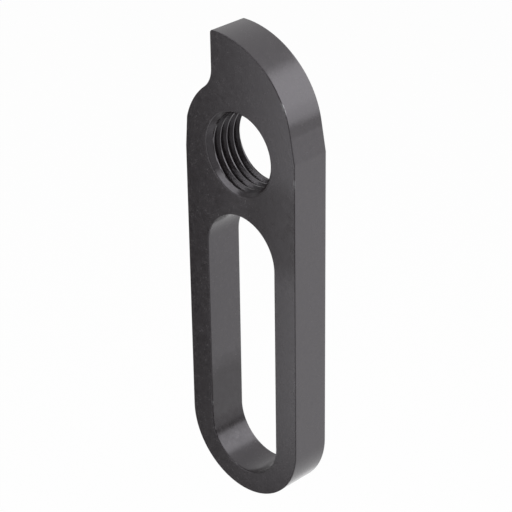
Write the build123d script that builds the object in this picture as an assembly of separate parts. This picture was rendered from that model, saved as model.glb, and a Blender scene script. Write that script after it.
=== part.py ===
from build123d import *
from math import radians, tan
import os

# Bicycle derailleur hanger, milled from one aluminium plate.
# Frame: X across the width, Y through the thickness (front face towards -Y), Z up.
# The origin is on the axis of the tapped hole, at half of the thickness.

# Plate
width = 16.5
half_width = width / 2
thickness = 4.9
edge_break = 0.05

# Tapped hole for the derailleur bolt, M10 x 1, right hand, open at its minor diameter
thread_major = 10.0
thread_pitch = 1.0
# depth that an ISO metric thread takes off the diameter, for each unit of pitch
thread_depth_ratio = 1.0825
minor_diameter = thread_major - thread_depth_ratio * thread_pitch
countersink_diameter = 9.64
countersink_angle = 90.0

# Slot for the wheel axle: the axle's diameter and the play around it
axle_diameter = 10.0
axle_play = 0.2
slot_width = axle_diameter + axle_play
slot_top_drop = 12.55
slot_travel = 22.8
slot_bottom_drop = slot_top_drop + slot_travel

# Round lower end, centred a little above the centre of the slot's lower end
end_rise = 0.55
end_drop = slot_bottom_drop - end_rise

# Stop tab above the hole: straight on its left, one big arc on its right
tab_edge_offset = 4.0
tab_arc_radius = 11.55
tab_arc_rise = 1.75
tab_corner_radius = 0.35
notch_radius = 3.0

# Flats beside the hole: each starts on a straight side and leans inwards
right_flat_start = 1.3
right_flat_angle = 10.5
left_flat_start = -1.4
left_flat_angle = 4.6

# Both faces, seen as work planes that look outwards
front = Plane.XZ.offset(thickness / 2)
back = Plane.XZ.rotated((0, 0, 180)).offset(thickness / 2)

# Outline: round shoulder about the hole, straight sides, round lower end
tab_arc_centre = half_width - tab_arc_radius
tab_top = tab_arc_rise + tab_arc_radius
with BuildSketch(front) as outline:
    with Locations((0, -end_drop / 2)):
        SlotCenterToCenter(end_drop, width, rotation=90)
    with BuildSketch(mode=Mode.PRIVATE) as tab:
        with Locations((tab_arc_centre, tab_arc_rise)):
            Circle(tab_arc_radius)
        with Locations((-tab_edge_offset, 0)):
            Rectangle(half_width + tab_edge_offset, tab_top,
                      align=(Align.MIN, Align.MIN), mode=Mode.INTERSECT)
            Rectangle(half_width + tab_edge_offset, tab_arc_rise, align=(Align.MIN, Align.MIN))
    add(tab.sketch)
    tab_edge = outline.edges().filter_by(Axis.Y).sort_by(Axis.Y)[-1]
    notch_corner, tab_corner = tab_edge.vertices().sort_by(Axis.Y)
    fillet(notch_corner, notch_radius)
    fillet(outline.vertices().sort_by_distance(tab_corner)[0], tab_corner_radius)
    # what lies beyond the two leaning flats is taken off
    for side, start, angle in ((half_width, right_flat_start, right_flat_angle),
                               (-half_width, left_flat_start, -left_flat_angle)):
        lean = (tab_top - start) * tan(radians(angle))
        with BuildLine():
            Polyline((side, start), (side - lean, tab_top), (side, tab_top), close=True)
        make_face(mode=Mode.SUBTRACT)

with BuildPart() as plate:
    extrude(outline.sketch, amount=thickness, dir=back.z_dir)

    # axle slot, through
    with BuildSketch(front):
        with Locations((0, -(slot_top_drop + slot_bottom_drop) / 2)):
            SlotCenterToCenter(slot_travel, slot_width, rotation=90)
    extrude(amount=-thickness, mode=Mode.SUBTRACT)

    # the edges of both faces are broken before the hole is made
    rims = plate.faces().filter_by(Axis.Y).edges()
    chamfer(rims, edge_break)

    # tapped hole with a countersink on each face
    with Locations(front, back):
        CounterSinkHole(radius=minor_diameter / 2, counter_sink_radius=countersink_diameter / 2,
                        depth=thickness, counter_sink_angle=countersink_angle)

os.makedirs("parts", exist_ok=True)
export_step(plate.part, "parts/hanger_plate.step")
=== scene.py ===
from math import atan2, ceil, cos, pi, radians, sin, tan, tau

import bmesh
import bpy
from bpy.props import FloatProperty, FloatVectorProperty, IntProperty, PointerProperty
from bpy.types import Operator, Panel, PropertyGroup
from mathutils import Matrix, Vector
from mathutils.geometry import intersect_line_sphere_2d


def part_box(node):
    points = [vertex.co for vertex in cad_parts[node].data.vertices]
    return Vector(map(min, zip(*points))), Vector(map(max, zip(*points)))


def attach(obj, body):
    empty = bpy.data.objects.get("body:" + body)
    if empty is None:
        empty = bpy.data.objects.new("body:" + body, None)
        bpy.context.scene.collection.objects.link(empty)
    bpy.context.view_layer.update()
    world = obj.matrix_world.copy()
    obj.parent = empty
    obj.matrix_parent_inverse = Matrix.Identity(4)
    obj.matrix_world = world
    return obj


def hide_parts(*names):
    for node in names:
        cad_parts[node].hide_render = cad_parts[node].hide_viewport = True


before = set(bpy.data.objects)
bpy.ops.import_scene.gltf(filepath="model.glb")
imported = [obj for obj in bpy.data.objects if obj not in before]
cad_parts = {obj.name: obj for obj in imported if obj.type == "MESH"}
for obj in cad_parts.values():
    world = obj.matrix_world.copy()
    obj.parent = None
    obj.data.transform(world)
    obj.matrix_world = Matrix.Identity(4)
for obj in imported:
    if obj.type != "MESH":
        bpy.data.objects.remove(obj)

bl_info = {
    "name": "Derailleur hanger",
    "version": (1, 0, 0),
    "blender": (4, 5, 0),
    "location": "View3D > Sidebar > Hanger",
    "description": "Builds a milled, black anodised derailleur hanger and its studio",
    "category": "Add Mesh",
}

NODE = "hanger_plate"
FINISH = "black_anodised"
MM = 0.001
# vertices this close together, in metres, are one
TINY = 2e-6
# vertices this close to a cutting plane, in metres, lie in it
ON_PLANE = 1e-8
# least share of a normal along Y that makes a face part of the flat front or back
FLAT = 0.9999
PLATE_LOW, PLATE_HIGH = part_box(NODE)
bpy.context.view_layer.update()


# ---- sizes and colours ----

def length(name, default, description):
    """A length given in millimetres."""
    return FloatProperty(name=name, description=description, default=default * MM,
                         unit="LENGTH", subtype="DISTANCE", precision=5)


def turn(name, default, description):
    """An angle given in degrees."""
    return FloatProperty(name=name, description=description, default=radians(default),
                         unit="ROTATION", subtype="ANGLE")


def colour(name, default, description):
    """A linear colour."""
    return FloatVectorProperty(name=name, description=description, default=default,
                               subtype="COLOR", size=3, min=0.0, max=1.0)


def level(name, default, description):
    """A plain share or strength."""
    return FloatProperty(name=name, description=description, default=default, min=0.0)


def span(name, default, description):
    """Two lengths, across and up, given in millimetres."""
    return FloatVectorProperty(name=name, description=description,
                               default=[part * MM for part in default],
                               unit="LENGTH", subtype="XYZ", size=2)


def place(name, default, description):
    """A point given in millimetres."""
    return FloatVectorProperty(name=name, description=description,
                               default=[part * MM for part in default],
                               unit="LENGTH", subtype="TRANSLATION", size=3)


class HangerSizes(PropertyGroup):
    """Sizes of the plate, its outline and its slot."""
    width: length("Width", (PLATE_HIGH.x - PLATE_LOW.x) / MM, "Width of the plate")
    thickness: length("Thickness", (PLATE_HIGH.y - PLATE_LOW.y) / MM,
                      "Thickness of the plate")
    edge_break: length("Edge break", 0.08, "Radius of the broken edges of both faces")
    end_drop: length("Lower end", 34.8, "Centre of the round lower end, below the hole")
    slot_width: length("Slot width", 10.2, "Width of the axle slot")
    slot_top: length("Slot top", 12.55, "Centre of the slot's upper end, below the hole")
    slot_bottom: length("Slot bottom", 35.35,
                        "Centre of the slot's lower end, below the hole")
    tab_edge: length("Tab edge", 4.0, "The tab's straight edge, left of the hole's axis")
    tab_arc: length("Tab arc", 11.55, "Radius of the big arc on the tab's right")
    tab_rise: length("Tab arc rise", 1.75, "Height of the big arc's centre above the hole")
    tab_corner: length("Tab corner", 0.35, "Radius of the tab's upper corner")
    notch: length("Notch radius", 3.0, "Radius between the tab's edge and the shoulder")
    right_flat: length("Right flat", 1.3, "Height at which the right flat starts")
    right_lean: turn("Right lean", 10.5, "Lean of the right flat")
    left_flat: length("Left flat", -1.4, "Height at which the left flat starts")
    left_lean: turn("Left lean", 4.6, "Lean of the left flat")
    ease: length("Ease", 10.0, "Radius that eases the right flat into the tab's big arc")
    arc_step: turn("Arc step", 1.25, "Turn of each facet of the outline's arcs")
    notch_step: turn("Notch step", 3.75, "Turn of each facet of the notch")
    corner_step: turn("Corner step", 10.0, "Turn of each facet of the tab's upper corner")
    round_facets: IntProperty(name="Round facets", default=4, min=1,
                              description="Facets across each broken edge")
    hold: length("Holding edge", 0.15, "Distance of a holding edge from its corner")
    sharp: turn("Sharp edge", 35.0, "Least angle between two faces at a sharp edge")


class ThreadSizes(PropertyGroup):
    """Sizes of the thread and of the countersinks at its ends."""
    major: length("Major diameter", 10.0, "Diameter at the thread's roots")
    minor: length("Minor diameter", 8.918, "Diameter at the thread's crests")
    pitch: length("Pitch", 1.0, "Distance from one crest to the next")
    crest: length("Crest", 0.12, "Width of the flat on each crest")
    root: length("Root", 0.125, "Width of the flat in each root")
    mouth: length("Front countersink", 9.77,
                  "Diameter of the countersink at the front face")
    rim: length("Front rim", 0.22, "Radius of that countersink's rim")
    back_mouth: length("Back countersink", 9.24,
                       "Diameter of the countersink at the back face")
    back_rim: length("Back rim", 0.08, "Radius of that countersink's rim")
    shift: span("Countersink shift", (-0.09, -0.05), "From the hole's axis to theirs")
    rim_rings: IntProperty(name="Rim rings", description="Rings round each rim",
                           default=6, min=2)
    start: length("Start", -0.284, "Y of a crest at the right of the hole")
    fade_from: turn("Fade from", 45.0, "Where the first groove starts to fade out")
    fade_to: turn("Fade to", 130.0, "Where the first groove has faded out")
    steps: IntProperty(name="Steps", description="Facets in one turn of the thread",
                       default=180, min=24)
    cuts: IntProperty(name="Cuts", description="Cuts in each side of the thread's profile",
                      default=3, min=1)
    spare: IntProperty(name="Spare turns", default=3, min=2,
                       description="Turns made beyond the plate's faces, then cut off")


class FinishColours(PropertyGroup):
    """Colours and levels of the anodised finish and of the floor."""
    film_dark: colour("Film, dark", (0.014, 0.011, 0.012), "Dyed film, darker patches")
    film_light: colour("Film, light", (0.022, 0.018, 0.019), "Dyed film, lighter patches")
    tint: colour("Gloss tint", (0.96, 0.93, 1.0), "Tint of the film's reflections")
    worn: colour("Worn", (0.28, 0.28, 0.29), "Metal where an edge is rubbed bare")
    roughness: level("Roughness", 0.22, "Roughness of the film")
    ior: level("Index", 1.7, "Refractive index of the film")
    patch_scale: level("Patch scale", 1400.0, "Patches of the film in a metre")
    grain_scale: level("Grain scale", 6000.0, "Grain of the film in a metre")
    grain_depth: length("Grain depth", 0.004, "Depth of the grain")
    streak_scale: level("Streak scale", 3000.0, "Streaks along the walls in a metre")
    streak_length: level("Streak length", 25.0, "Length of a streak in its widths")
    sweep_scale: level("Sweep scale", 300.0, "Milling sweeps in a metre")
    sweep_centre: place("Sweep centre", (12.0, 0.0, 4.0), "Centre of the milling sweeps")
    mark_height: level("Mark height", 0.12,
                       "Height of streaks and sweeps next to the grain")
    rub_scale: level("Rub scale", 500.0, "Rubbed places in a metre")
    mottle: level("Mottle", 0.07, "How far the gloss wavers all over")
    # a darker patch on the front face, right of the hole and above the slot, where the
    # reflection is cut so that it renders darker
    handled_at: place("Handled patch", (6.0, -2.45, -7.0),
                      "Middle of the face's duller patch")
    handled: length("Handled radius", 6.8, "Radius of that patch")
    handled_gloss: level("Handled gloss", 0.56, "Gloss left in that patch")
    # painted shade on the slot's walls: their reflection is cut so that they render darker
    painted_slot_shade_at: place("Dusty slot", (0.0, 0.0, -25.0), "Middle of the slot's duller wall")
    painted_slot_shade: length("Dusty radius", 8.0, "How far across that dulling reaches")
    painted_slot_shade_gloss: level("Dusty gloss", 0.84, "Gloss left on that wall")
    # painted shade in the slot's lower end: the reflection there is cut so that it renders
    # darker
    painted_slot_end_shade_at: place("Grimy patch", (-5.6, 0.0, -33.5),
                    "Middle of the dull patch in the slot")
    painted_slot_end_shade: length("Grimy radius", 6.2, "Radius of that patch")
    painted_slot_end_shade_gloss: level("Grimy gloss", 0.57, "Gloss left in that patch")
    # painted shade: a darker strip on the wall where the big arc meets the right flat, made
    # by cutting its reflection
    painted_crease_shade_at: place("Crease", (7.6, 0.0, 4.7),
                     "Middle of the dull strip under the big arc")
    painted_crease_shade: length("Crease radius", 0.75, "Half of that strip's height")
    painted_crease_shade_gloss: level("Crease gloss", 0.78, "Gloss left in that strip")
    floor: colour("Floor", (0.95, 0.95, 0.95), "Colour of the floor")
    floor_white: level("Floor white", 0.95,
                       "Share of white in the floor that the camera sees")
    floor_scale: level("Floor scale", 40.0, "Patches of the floor in a metre")
    floor_shade: level("Floor shade", 0.97,
                       "Darkest patch as a share of the floor's colour")


class StudioSetup(PropertyGroup):
    """The camera's place round the plate, and the lamps."""
    azimuth: turn("Azimuth", 44.72, "Camera's turn to the right of straight on")
    elevation: turn("Elevation", 27.621, "Camera's height above the horizon")
    roll: turn("Roll", 0.862, "Tilt of the camera to its right")
    distance: length("Distance", 220.158, "From the camera to the point looked at")
    aim: place("Aim", (-0.034, 0.0, -13.242), "The point looked at")
    lens: FloatProperty(name="Lens", description="Focal length", default=139.082,
                        unit="CAMERA")
    floor_drop: length("Floor drop", 100.0, "Floor level below the plate's lowest point")
    floor_radius: length("Floor radius", 2500.0, "Radius of the floor")
    floor_sides: IntProperty(name="Floor sides", description="Sides of the round floor",
                             default=96, min=3)
    bright: level("Bright side", 1.4, "Most light that comes from behind the plate")
    upper: level("Behind, upper left", 0.07, "Share missing behind the plate there")
    lower: level("Behind, lower left", 0.25, "Share added behind the plate there")
    dim: level("Dim side", 0.03, "Light that comes from the camera's left")
    left: level("Left side", 0.35, "Light that comes from the camera's upper left")
    table: level("Table", 0.2, "Light that comes from the camera's lower left")
    right: level("Right side", 0.6, "Light that comes from the camera's right")
    low: level("Low side", 0.85, "Light that comes from below")
    back_at: place("Back lamp", (122.0, 156.0, 103.5),
                   "Middle of the softbox behind the plate")
    back_size: span("Back lamp size", (320.0, 199.0), "Width and height of that softbox")
    back_glow: level("Back lamp glow", 1.82, "Brightness of that softbox")
    key_at: place("Key lamp", (-40.0, -200.0, 195.0),
                  "Middle of the softbox above the camera's side")
    key_size: span("Key lamp size", (290.0, 140.0), "Width and height of that softbox")
    key_glow: level("Key lamp glow", 2.7, "Brightness of that softbox")
    card_at: place("Card", (-52.0, -104.0, -62.0),
                   "Middle of the bright card at the lower left")
    card_size: span("Card size", (64.0, 110.0), "Width and height of that card")
    card_glow: level("Card glow", 1.46, "Brightness of that card")


# ---- plate ----

# facets in the outline's shortest arcs, at least
LEAST_FACETS = 4


def once(parts):
    """The parts in their order, each of them once."""
    return list(dict.fromkeys(parts))


class Pen:
    """Draws a chain of edges at one depth, with lines and arcs."""

    def __init__(self, bm, x, y, z):
        self.bm = bm
        self.tip = bm.verts.new((x, y, z))

    def hop(self, point):
        """One straight edge to a point."""
        made = bmesh.ops.extrude_vert_indiv(self.bm, verts=[self.tip])["verts"]
        bmesh.ops.translate(self.bm, verts=made, vec=point - self.tip.co)
        self.tip = made[0]

    def line(self, x, z, hold):
        """A straight run with a holding edge near each end."""
        start = self.tip.co.copy()
        end = Vector((x, start.y, z))
        share = hold / (end - start).length
        for at in (share, 1 - share, 1):
            self.hop(start.lerp(end, at))

    def arc(self, centre, angle, step):
        """A turn about a centre, counterclockwise from the front where positive."""
        x, z = centre
        made = bmesh.ops.spin(self.bm, geom=[self.tip], cent=(x, self.tip.co.y, z),
                              axis=(0, -1, 0), angle=angle,
                              steps=max(LEAST_FACETS, ceil(abs(angle) / step)))["geom_last"]
        self.tip = next(part for part in made if isinstance(part, bmesh.types.BMVert))

    def bearing(self, centre):
        """Direction of the tip as seen from a centre."""
        return atan2(self.tip.co.z - centre[1], self.tip.co.x - centre[0])

    def fill(self):
        """Joins the chain's ends and fills it with one face."""
        loose = [edge for edge in self.bm.edges if not edge.link_faces]
        ends = once(vert for edge in loose for vert in edge.verts)
        bmesh.ops.remove_doubles(self.bm, verts=ends, dist=TINY)
        loose = [edge for edge in self.bm.edges if not edge.link_faces]
        return bmesh.ops.edgeloop_fill(self.bm, edges=loose)["faces"][0]


def meeting(start, way, centre, radius):
    """The furthest point along a way at which it meets a circle."""
    hits = intersect_line_sphere_2d(start, start + way, centre, radius, False)
    return max((hit for hit in hits if hit), key=lambda hit: (hit - start).dot(way))


def draw_outline(bm, size, y):
    """Lower end, right side and flat, tab, notch, shoulder, left flat and side."""
    half = size.width / 2
    hole = Vector((0, 0))
    low = Vector((0, -size.end_drop))
    tab = Vector((half - size.tab_arc, size.tab_rise))
    up = Vector((0, 1))
    pen = Pen(bm, half, y, low.y)
    pen.line(half, size.right_flat, size.hold)
    lean = Vector((-sin(size.right_lean), cos(size.right_lean)))
    inwards = size.ease * Vector((-cos(size.right_lean), -sin(size.right_lean)))
    ease = meeting(Vector((half, size.right_flat)) + inwards, lean, tab,
                   size.tab_arc - size.ease)
    pen.line(*(ease - inwards), size.hold)
    reach = ease - tab
    pen.arc(ease, atan2(reach.y, reach.x) - pen.bearing(ease), size.arc_step)
    # the tab's corner touches the big arc and the straight edge
    corner = meeting(Vector((size.tab_corner - size.tab_edge, 0)), up, tab,
                     size.tab_arc - size.tab_corner)
    reach = corner - tab
    pen.arc(tab, atan2(reach.y, reach.x) - pen.bearing(tab), size.arc_step)
    pen.arc(corner, pi - pen.bearing(corner), size.corner_step)
    # the notch touches the straight edge and the shoulder
    notch = meeting(Vector((-size.tab_edge - size.notch, 0)), up, hole, half + size.notch)
    pen.line(-size.tab_edge, notch.y, size.hold)
    pen.arc(notch, atan2(-notch.y, -notch.x), size.notch_step)
    lean = Vector((sin(size.left_lean), cos(size.left_lean)))
    flat_top = meeting(Vector((-half, size.left_flat)), lean, hole, half)
    pen.arc(hole, atan2(flat_top.y, flat_top.x) - pen.bearing(hole), size.arc_step)
    pen.line(-half, size.left_flat, size.hold)
    pen.line(-half, low.y, size.hold)
    pen.arc(low, pi, size.arc_step)
    return pen.fill()


def draw_slot(bm, size, radius, y):
    """The slot's outline at one end radius."""
    high, low = Vector((0, -size.slot_top)), Vector((0, -size.slot_bottom))
    pen = Pen(bm, radius, y, low.y)
    pen.line(radius, high.y, size.hold)
    pen.arc(high, pi, size.arc_step)
    pen.line(-radius, low.y, size.hold)
    pen.arc(low, pi, size.arc_step)
    return pen.fill()


def aim_face(face, way):
    """Turns a face to look along a way."""
    face.normal_update()
    if face.normal.dot(way) < 0:
        face.normal_flip()


def push(bm, face, way):
    """Extrudes a face, drops the old one and returns the new one."""
    made = bmesh.ops.extrude_face_region(bm, geom=[face])["geom"]
    moved = next(part for part in made if isinstance(part, bmesh.types.BMFace))
    bmesh.ops.translate(bm, verts=moved.verts[:], vec=way)
    if face.is_valid:
        bmesh.ops.delete(bm, geom=[face], context="FACES_ONLY")
    aim_face(moved, way)
    return moved


def ring_in(bm, face, inwards, onwards):
    """Insets a face by one ring and returns the ring's faces."""
    return bmesh.ops.inset_region(bm, faces=[face], thickness=inwards, depth=onwards,
                                  use_even_offset=True, use_boundary=True)["faces"]


def quarter(radius, facets):
    """Steps across and along a quarter circle that starts along its wall."""
    turns = [i * pi / 2 / facets for i in range(facets + 1)]
    return [(radius * (cos(a) - cos(b)), radius * (sin(b) - sin(a)))
            for a, b in zip(turns, turns[1:])]


def build_plate(bm, size, edge):
    """Half of the outer wall and of the slot's wall, mirrored through the plate."""
    half, round_steps = size.thickness / 2, quarter(size.edge_break, size.round_facets)
    front, back = Vector((0, -1, 0)), Vector((0, 1, 0))
    broken = []

    # outer wall, from the middle of the thickness to the front face
    face = draw_outline(bm, size, 0.0)
    aim_face(face, front)
    face = push(bm, face, front * (half - size.edge_break - size.hold))
    face = push(bm, face, front * size.hold)
    for inwards, onwards in round_steps:
        broken += ring_in(bm, face, inwards, onwards)
    ring_in(bm, face, size.hold, 0.0)
    bmesh.ops.delete(bm, geom=[face], context="FACES_ONLY")

    # slot wall, from the front face to the middle of the thickness
    face = draw_slot(bm, size, size.slot_width / 2 + size.edge_break + size.hold, -half)
    aim_face(face, back)
    ring_in(bm, face, size.hold, 0.0)
    for onwards, inwards in reversed(round_steps):
        broken += ring_in(bm, face, onwards, inwards)
    face = push(bm, face, back * size.hold)
    face = push(bm, face, back * (half - size.edge_break - size.hold))
    bmesh.ops.delete(bm, geom=[face], context="FACES_ONLY")

    for face in broken:
        for vert in face.verts:
            vert[edge] = 1.0
    bmesh.ops.mirror(bm, geom=bm.verts[:] + bm.edges[:] + bm.faces[:],
                     matrix=Matrix.Identity(4), merge_dist=TINY, axis="Y")


def polar(vert):
    """Distance of a vertex from the hole's axis and its turn about it."""
    return (vert.co.x ** 2 + vert.co.z ** 2) ** 0.5, atan2(vert.co.z, vert.co.x) % tau


def stretch(vert, radius):
    """Moves a vertex to a distance from the hole's axis."""
    share = radius / polar(vert)[0]
    vert.co.x *= share
    vert.co.z *= share


def inside(bm, radius):
    """The vertices that lie within a distance from the hole's axis."""
    return [vert for vert in bm.verts if polar(vert)[0] < radius]


def aside(thread, turned):
    """How far the shifted countersinks reach beyond centred ones at a turn."""
    return Vector(thread.shift).dot((cos(turned), sin(turned)))


def spin_thread(bm, size, thread, reach):
    """Spins the thread's profile, drawn at the right of the hole, round the hole."""
    crest, root = thread.minor / 2, thread.major / 2
    flank = (thread.pitch - thread.crest - thread.root) / 2
    run = ((crest, thread.crest), (root, flank), (root, thread.root), (crest, flank))
    rings = ceil(size.thickness / thread.pitch) + thread.spare
    pen = Pen(bm, crest, thread.start - thread.crest / 2 - rings // 2 * thread.pitch, 0)
    for _ in range(rings):
        for radius, along in run:
            pen.hop(Vector((radius, pen.tip.co.y + along, 0)))
    profile = [part for part in bm.edges if not part.link_faces]
    bmesh.ops.subdivide_edges(bm, edges=profile, cuts=thread.cuts)
    profile = [part for part in bm.edges if not part.link_faces]
    corners = once(vert for part in profile for vert in part.verts)
    bmesh.ops.spin(bm, geom=profile + corners, cent=(0, 0, 0), axis=(0, -1, 0),
                   dvec=(0, -thread.pitch / thread.steps, 0), angle=tau,
                   steps=thread.steps)
    bmesh.ops.remove_doubles(bm, verts=inside(bm, reach), dist=TINY)


def open_thread(bm, size, thread, reach, ends):
    """Fades the first groove out and opens both ends with a 45 degree countersink."""
    half = size.thickness / 2
    crest, root = thread.minor / 2, thread.major / 2
    first = (half + thread.start) % thread.pitch + thread.pitch - thread.crest / 2
    for vert in inside(bm, reach):
        radius, turned = polar(vert)
        if half + vert.co.y + thread.pitch * turned / tau < first:
            left = (thread.fade_to - turned) / (thread.fade_to - thread.fade_from)
            radius = crest + (radius - crest) * min(max(left, 0.0), 1.0)
        mouth = ends[-1 if vert.co.y < 0 else 1][0]
        cone = min(mouth - half + abs(vert.co.y), root)
        stretch(vert, max(radius, cone + aside(thread, turned)))


def round_rim(bm, size, thread, reach, way, mouth, rim):
    """Cuts a countersink off near its face and curves it into the face."""
    half = size.thickness / 2
    wall = inside(bm, reach)
    around = once(face for vert in wall for face in vert.link_faces)
    sides = once(part for face in around for part in face.edges)
    at = way * (half - rim * (1 - sin(pi / 4)))
    made = bmesh.ops.bisect_plane(bm, geom=wall + sides + around, dist=ON_PLANE,
                                  plane_co=(0, at, 0), plane_no=(0, way, 0),
                                  clear_outer=True)["geom_cut"]
    loop = [part for part in made if isinstance(part, bmesh.types.BMEdge)]
    for ring in range(1, thread.rim_rings + 1):
        angle = pi / 4 * (1 + ring / thread.rim_rings)
        made = bmesh.ops.extrude_edge_only(bm, edges=loop)["geom"]
        loop = [part for part in made
                if isinstance(part, bmesh.types.BMEdge) and part.is_boundary]
        radius = mouth + rim * (tan(pi / 8) - cos(angle))
        for vert in once(vert for part in loop for vert in part.verts):
            vert.co.y = way * (half - rim * (1 - sin(angle)))
            stretch(vert, radius + aside(thread, polar(vert)[1]))


def build_thread(bm, size, thread):
    """The helical thread, with a countersink and its rounded rim at each face."""
    # everything this near the hole's axis is thread
    reach = (thread.major / 2 + size.slot_top - size.slot_width / 2) / 2
    # the front face looks towards -Y
    ends = {-1: (thread.mouth / 2, thread.rim),
            1: (thread.back_mouth / 2, thread.back_rim)}
    spin_thread(bm, size, thread, reach)
    open_thread(bm, size, thread, reach, ends)
    for way, (mouth, rim) in ends.items():
        round_rim(bm, size, thread, reach, way, mouth, rim)


def close_faces(bm, size):
    """Fills both flat faces between the outer wall, the slot and the hole."""
    for way in (-1, 1):
        rims = [part for part in bm.edges if part.is_boundary
                and part.verts[0].co.y * way > 0 and part.verts[1].co.y * way > 0]
        bmesh.ops.triangle_fill(bm, use_beauty=True, edges=rims, normal=(0, way, 0))
    bmesh.ops.recalc_face_normals(bm, faces=bm.faces)


# ---- finish ----

# most of a noise lies between these
MIDST = (0.3, 0.7)
# share of the normal along Y at which a wall ends and a flat face starts
FACE_ON = (0.6, 0.9)
# noise that leaves a broken edge whole, and noise that rubs it bare
RUBBED = (0.62, 0.72)
# how far a dimmed patch's outline strays, and where it fades in, in shares of its radius
STRAY = (-0.15, 0.15)
FADE_IN = (1.0, 0.6)
# a dimmed patch's strength wavers: range of the noise, and of the strength that it gives
UNEVEN = (0.4, 0.6, 0.8, 1.2)
# how far the grain and the film's patches move the roughness
GRAIN_ROUGH = (-0.05, 0.05)
PATCH_ROUGH = 0.03
BLACK, WHITE = (0.0, 0.0, 0.0), (1.0, 1.0, 1.0)
# dimmed patches, whose reflection is cut so that they render darker: painted shade on the
# slot's walls, in its lower end and in the crease under the big arc, and a darker patch on
# the front face.
# Columns: name, whether on the flat faces, and how much X, Y and Z count in the distance
# from the middle
DIMMED_PATCHES = (
    # a darker patch on the front face, right of the hole
    ("handled", True, (1.0, 1.0, 1.0)),
    # painted shade on the slot's walls
    ("painted_slot_shade", False, (1.0, 0.0, 0.33)),
    # painted shade in the slot's lower end
    ("painted_slot_end_shade", False, (1.0, 1.0, 1.0)),
    # painted shade in the crease where the big arc meets the right flat
    ("painted_crease_shade", False, (1.0, 0.1, 1.0)),
)


class Recipe:
    """Adds nodes to a material or a world and joins them by name."""

    def __init__(self, holder):
        self.holder = holder
        holder.use_nodes = True
        self.tree = holder.node_tree
        self.tree.nodes.clear()

    def node(self, kind, settings=None, **inputs):
        """A node with its settings; an input is a value or another node's output."""
        made = self.tree.nodes.new(kind)
        for key, value in (settings or {}).items():
            setattr(made, key, value)
        for key, value in inputs.items():
            socket = self.socket(made, key)
            if isinstance(value, bpy.types.NodeSocket):
                self.tree.links.new(value, socket)
            else:
                socket.default_value = value
        return made

    def socket(self, made, key):
        """An input by its name, with underscores for spaces, or by its number."""
        if key.startswith("at"):
            return made.inputs[int(key[2:])]
        return made.inputs[key.replace("_", " ")]

    def noise(self, where, scale, detail=3.0, rough=0.5):
        """Fine irregular patches, from 0 to 1."""
        return self.node("ShaderNodeTexNoise", Vector=where, Scale=scale, Detail=detail,
                         Roughness=rough).outputs["Fac"]

    def fit(self, value, low, high, new_low=0.0, new_high=1.0):
        """A value moved from one range to another and held there."""
        return self.node("ShaderNodeMapRange", From_Min=low, From_Max=high, To_Min=new_low,
                         To_Max=new_high, Value=value).outputs["Result"]

    def ramp(self, value, levels):
        """A value read off pairs of place and level, both from 0 to 1."""
        made = self.node("ShaderNodeValToRGB", Fac=value)
        stops = made.color_ramp.elements
        for at, _ in levels[2:]:
            stops.new(at)
        for stop, (at, grey) in zip(stops, levels):
            stop.position = at
            stop.color = (grey, grey, grey, 1.0)
        return made.outputs["Color"]

    def sum(self, way, a, b):
        """A sum with two values: add, multiply and so on."""
        return self.node("ShaderNodeMath", {"operation": way}, at0=a, at1=b).outputs[0]

    def blend(self, share, a, b):
        """Two colours mixed by a share."""
        made = self.node("ShaderNodeMix", {"data_type": "RGBA"})
        for index, value in ((0, share), (6, a), (7, b)):
            if isinstance(value, bpy.types.NodeSocket):
                self.tree.links.new(value, made.inputs[index])
            else:
                made.inputs[index].default_value = value
        return made.outputs[2]

    def end(self, shader):
        """Joins the shader to the material's output."""
        self.node("ShaderNodeOutputMaterial", Surface=shader)
        return self.holder


def solid(rgb):
    """A colour as the four numbers that a socket takes."""
    return (*rgb, 1.0)


def dimmed_gloss(made, where, patches, share, finish, name, stretch):
    """Gloss left by a ragged dimmed patch, whose cut reflection makes it render darker,
    where the share is full.
    """
    away = made.node("ShaderNodeVectorMath", {"operation": "SUBTRACT"}, at0=where,
                     at1=getattr(finish, name + "_at")).outputs["Vector"]
    away = made.node("ShaderNodeVectorMath", {"operation": "MULTIPLY"}, at0=away,
                     at1=stretch).outputs["Vector"]
    away = made.node("ShaderNodeVectorMath", {"operation": "LENGTH"},
                     at0=away).outputs["Value"]
    ragged = made.sum("ADD", made.sum("DIVIDE", away, getattr(finish, name)),
                      made.fit(patches, *MIDST, *STRAY))
    most = 1.0 - getattr(finish, name + "_gloss")
    lost = made.sum("MULTIPLY", made.fit(patches, *UNEVEN),
                    made.fit(ragged, *FADE_IN, 0.0, most))
    return made.sum("SUBTRACT", 1.0, made.sum("MULTIPLY", share, lost))


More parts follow.
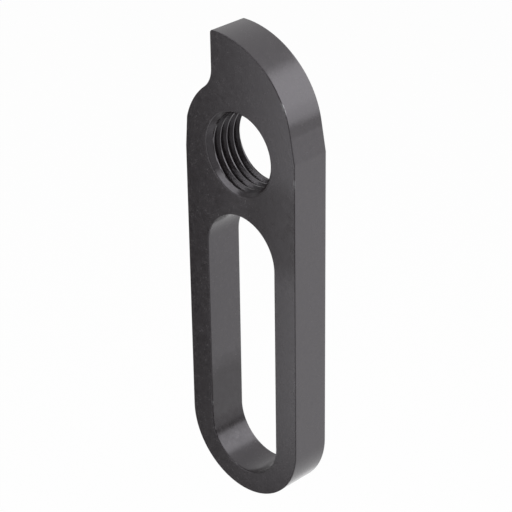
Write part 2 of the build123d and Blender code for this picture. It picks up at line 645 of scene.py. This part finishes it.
def anodised(finish):
    """Dyed anodised aluminium: mottled film, milling marks, rubbed edges, painted shade in
    the slot and in the crease under the big arc, and a darker patch on the front face.
    """
    made = Recipe(bpy.data.materials.new(FINISH))
    coords = made.node("ShaderNodeTexCoord")
    where = coords.outputs["Object"]
    parts = made.node("ShaderNodeSeparateXYZ", Vector=coords.outputs["Normal"])
    flat = made.fit(made.sum("ABSOLUTE", parts.outputs["Y"], 0.0), *FACE_ON)
    wall = made.sum("SUBTRACT", 1.0, flat)

    # film, darker and lighter in patches
    patches = made.noise(where, finish.patch_scale, detail=6.0, rough=0.65)
    film = made.blend(made.fit(patches, *MIDST), solid(finish.film_dark),
                      solid(finish.film_light))

    # grain, with streaks up the walls and milling sweeps across the faces
    grain = made.noise(where, finish.grain_scale, detail=2.0, rough=0.6)
    drawn = made.node("ShaderNodeMapping", Vector=where,
                      Scale=(1.0, 1.0, 1.0 / finish.streak_length))
    streaks = made.noise(drawn.outputs["Vector"], finish.streak_scale, rough=0.6)
    swept = made.node("ShaderNodeMapping", Vector=where, Location=finish.sweep_centre)
    sweeps = made.node("ShaderNodeTexWave", {"wave_type": "RINGS", "rings_direction": "Y"},
                       Vector=swept.outputs["Vector"], Scale=finish.sweep_scale,
                       Distortion=1.5, Detail=2.0, Detail_Scale=2.0).outputs["Fac"]
    marks = made.blend(flat, streaks, sweeps)
    height = made.sum("ADD", grain, made.sum("MULTIPLY", marks, finish.mark_height))
    bump = made.node("ShaderNodeBump", Height=height, Strength=1.0,
                     Distance=finish.grain_depth)
    rough = made.sum("ADD", made.fit(grain, *MIDST, *GRAIN_ROUGH),
                     made.fit(patches, *MIDST, finish.roughness - PATCH_ROUGH,
                              finish.roughness + PATCH_ROUGH))

    # the gloss wavers all over, and is cut in the dimmed patches: painted shade in the slot
    # and in the crease under the big arc, and a darker patch on the front face
    fine = made.noise(where, finish.patch_scale * 2, detail=4.0, rough=0.7)
    gloss = made.fit(fine, *MIDST, 1.0 - finish.mottle, 1.0 + finish.mottle)
    for name, on_faces, stretch in DIMMED_PATCHES:
        left = dimmed_gloss(made, where, patches, flat if on_faces else wall, finish, name,
                      stretch)
        gloss = made.sum("MULTIPLY", gloss, left)
    gloss = made.blend(gloss, solid(BLACK), solid(finish.tint))

    # rubbed bare here and there along the broken edges
    edge = made.node("ShaderNodeAttribute", {"attribute_name": "edge"}).outputs["Fac"]
    rub = made.fit(made.noise(where, finish.rub_scale, detail=4.0, rough=0.6), *RUBBED)
    wear = made.sum("MULTIPLY", edge, rub)
    paint = made.blend(wear, film, solid(finish.worn))
    shader = made.node("ShaderNodeBsdfPrincipled", Base_Color=paint, Metallic=wear,
                       Roughness=rough, Specular_Tint=gloss, Normal=bump.outputs["Normal"])
    shader.inputs["IOR"].default_value = finish.ior
    return made.end(shader.outputs["BSDF"])


# ---- studio ----

# Light behind the plate by height, from straight below to straight above: pairs of
# place and share of the bright side, with a dark strip at the horizon
BEHIND = ((0.0, 0.78), (0.175, 0.78), (0.25, 0.96), (0.465, 0.96), (0.51, 0.3),
          (0.58, 0.3), (0.62, 0.76), (1.0, 0.76))
# Where each light sets in, from none to all of it, by the direction's X, Y or Z
BEHIND_Y = (-0.45, 0.2)
UPPER_X, UPPER_Z = (0.0, -0.3), (0.2, 0.4)
LOWER_X, LOWER_Z = (-0.1, -0.3), (-0.3, -0.5)
TABLE_Z = (-0.53, -0.56)
LEFT_X, LEFT_Z = (-0.35, -0.6), (-0.425, -0.3)
RIGHT_X = (0.25, 0.5)
BELOW_X, BELOW_Z = (-0.1, 0.3), (-0.4, -0.75)


def studio_floor(finish):
    """Pale floor that the camera sees as nearly white, with a soft shadow."""
    made = Recipe(bpy.data.materials.new("studio_floor"))
    where = made.node("ShaderNodeTexCoord").outputs["Object"]
    shade = [part * finish.floor_shade for part in finish.floor]
    tone = made.blend(made.noise(where, finish.floor_scale), solid(finish.floor),
                      solid(shade))
    cloth = made.node("ShaderNodeBsdfDiffuse", Color=tone)
    white = made.node("ShaderNodeEmission", Color=solid(WHITE), Strength=1.0)
    camera = made.node("ShaderNodeLightPath").outputs["Is Camera Ray"]
    share = made.sum("MULTIPLY", camera, finish.floor_white)
    mixed = made.node("ShaderNodeMixShader", at0=share, at1=cloth.outputs[0],
                      at2=white.outputs[0])
    return made.end(mixed.outputs[0])


def add_floor(scene, studio):
    """A round floor below the plate."""
    floor_at = Matrix.Translation((0, 0, PLATE_LOW.z - studio.floor_drop))
    bm = bmesh.new()
    bmesh.ops.create_circle(bm, cap_ends=True, segments=studio.floor_sides,
                            radius=studio.floor_radius, matrix=floor_at)
    mesh = bpy.data.meshes.new("studio_floor")
    bm.to_mesh(mesh)
    bm.free()
    mesh.materials.append(studio_floor(scene.hanger_finish))
    floor = bpy.data.objects.new("studio_floor", mesh)
    scene.collection.objects.link(floor)
    floor.visible_glossy = False


def surroundings(studio):
    """Even light from behind, less from the camera's right and little from its left."""
    world = bpy.data.worlds.new("studio")
    made = Recipe(world)
    way = made.node("ShaderNodeTexCoord").outputs["Generated"]
    parts = made.node("ShaderNodeSeparateXYZ", Vector=way)
    x, y, z = (parts.outputs[axis] for axis in "XYZ")
    upper = made.sum("MULTIPLY", made.fit(x, *UPPER_X),
                     made.fit(z, *UPPER_Z, 0.0, studio.upper))
    lower = made.sum("MULTIPLY", made.fit(x, *LOWER_X),
                     made.fit(z, *LOWER_Z, 0.0, studio.lower))
    share = made.ramp(made.fit(z, -1.0, 1.0), BEHIND)
    share = made.sum("ADD", made.sum("SUBTRACT", share, upper), lower)
    rear = made.sum("MULTIPLY", made.fit(y, *BEHIND_Y), share)
    rear = made.sum("MULTIPLY", rear, studio.bright)
    left = made.sum("ADD", made.fit(z, *TABLE_Z, 0.0, studio.table),
                    made.fit(z, *LEFT_Z, 0.0, studio.left))
    left = made.sum("MULTIPLY", made.fit(x, *LEFT_X), left)
    right = made.fit(x, *RIGHT_X, 0.0, studio.right)
    below = made.sum("MULTIPLY", made.fit(x, *BELOW_X),
                     made.fit(z, *BELOW_Z, 0.0, studio.low))
    front = made.sum("MAXIMUM", made.sum("MAXIMUM", right, below),
                     made.sum("ADD", left, studio.dim))
    # the camera itself sees plain white
    camera = made.node("ShaderNodeLightPath").outputs["Is Camera Ray"]
    lit = made.sum("MULTIPLY", made.sum("MAXIMUM", rear, front),
                   made.sum("SUBTRACT", 1.0, camera))
    strength = made.sum("ADD", lit, camera)
    light = made.node("ShaderNodeBackground", Color=solid(WHITE), Strength=strength)
    made.node("ShaderNodeOutputWorld", Surface=light.outputs[0])
    return world


def lamp(scene, name, at, size, glow):
    """An upright softbox that faces the hole's axis."""
    data = bpy.data.lights.new("lamp_" + name, "AREA")
    data.shape = "RECTANGLE"
    data.size, data.size_y = size
    data.energy = glow * pi * data.size * data.size_y
    box = bpy.data.objects.new("lamp_" + name, data)
    outwards = Vector((at.x, at.y, 0.0))
    box.matrix_world = (Matrix.Translation(at)
                        @ outwards.to_track_quat("Z", "Y").to_matrix().to_4x4())
    box.visible_camera = False
    scene.collection.objects.link(box)


def add_camera(scene, studio):
    """The camera, at its distance from the point that it looks at."""
    aim = Vector(studio.aim)
    away = Vector((sin(studio.azimuth) * cos(studio.elevation),
                   -cos(studio.azimuth) * cos(studio.elevation), sin(studio.elevation)))
    data = bpy.data.cameras.new("camera")
    data.lens = studio.lens
    camera = bpy.data.objects.new("camera", data)
    camera.matrix_world = (Matrix.Translation(aim + away * studio.distance)
                           @ away.to_track_quat("Z", "Y").to_matrix().to_4x4()
                           @ Matrix.Rotation(-studio.roll, 4, "Z"))
    scene.collection.objects.link(camera)
    scene.camera = camera


# ---- operators ----

class HANGER_OT_plate(Operator):
    """Build the hanger plate with its threaded hole and axle slot"""
    bl_idname = "hanger.plate"
    bl_label = "Hanger plate"

    def execute(self, context):
        scene = context.scene
        bm = bmesh.new()
        edge = bm.verts.layers.float.new("edge")
        build_plate(bm, scene.hanger_sizes, edge)
        build_thread(bm, scene.hanger_sizes, scene.hanger_thread)
        close_faces(bm, scene.hanger_sizes)
        open_edges = sum(not part.is_manifold for part in bm.edges)
        if open_edges:
            raise RuntimeError(f"the plate has {open_edges} open edges")
        mesh = bpy.data.meshes.new("hanger")
        bm.to_mesh(mesh)
        bm.free()
        mesh.set_sharp_from_angle(angle=scene.hanger_sizes.sharp)
        for face in mesh.polygons:
            face.use_smooth = abs(face.normal.y) < FLAT
        mesh.materials.append(anodised(scene.hanger_finish))
        plate = bpy.data.objects.new("hanger", mesh)
        scene.collection.objects.link(plate)
        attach(plate, "root")
        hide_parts(NODE)
        return {"FINISHED"}


class HANGER_OT_stage(Operator):
    """Build the floor, the lamps and the camera"""
    bl_idname = "hanger.stage"
    bl_label = "Studio"

    def execute(self, context):
        scene, studio = context.scene, context.scene.hanger_studio
        add_floor(scene, studio)
        scene.world = surroundings(studio)
        for name in ("back", "key", "card"):
            lamp(scene, name, Vector(getattr(studio, name + "_at")),
                 getattr(studio, name + "_size"), getattr(studio, name + "_glow"))
        add_camera(scene, studio)
        scene.view_settings.view_transform = "Standard"
        return {"FINISHED"}


class HANGER_PT_panel(Panel):
    """Sizes, colours and builders of the hanger"""
    bl_label = "Derailleur hanger"
    bl_idname = "HANGER_PT_panel"
    bl_space_type = "VIEW_3D"
    bl_region_type = "UI"
    bl_category = "Hanger"

    def draw(self, context):
        for kind in BUILDERS:
            self.layout.operator(kind.bl_idname)
        for key, kind in GROUPS.items():
            box = self.layout.box()
            for name in kind.__annotations__:
                box.prop(getattr(context.scene, key), name)


GROUPS = {
    "hanger_sizes": HangerSizes,
    "hanger_thread": ThreadSizes,
    "hanger_finish": FinishColours,
    "hanger_studio": StudioSetup,
}
BUILDERS = (HANGER_OT_plate, HANGER_OT_stage)
CLASSES = (*GROUPS.values(), *BUILDERS, HANGER_PT_panel)


def register():
    for kind in CLASSES:
        bpy.utils.register_class(kind)
    for key, kind in GROUPS.items():
        setattr(bpy.types.Scene, key, PointerProperty(type=kind))


def unregister():
    for key in GROUPS:
        delattr(bpy.types.Scene, key)
    for kind in reversed(CLASSES):
        bpy.utils.unregister_class(kind)


def main():
    register()
    bpy.ops.hanger.plate()
    bpy.ops.hanger.stage()


if __name__ == "__main__":
    main()
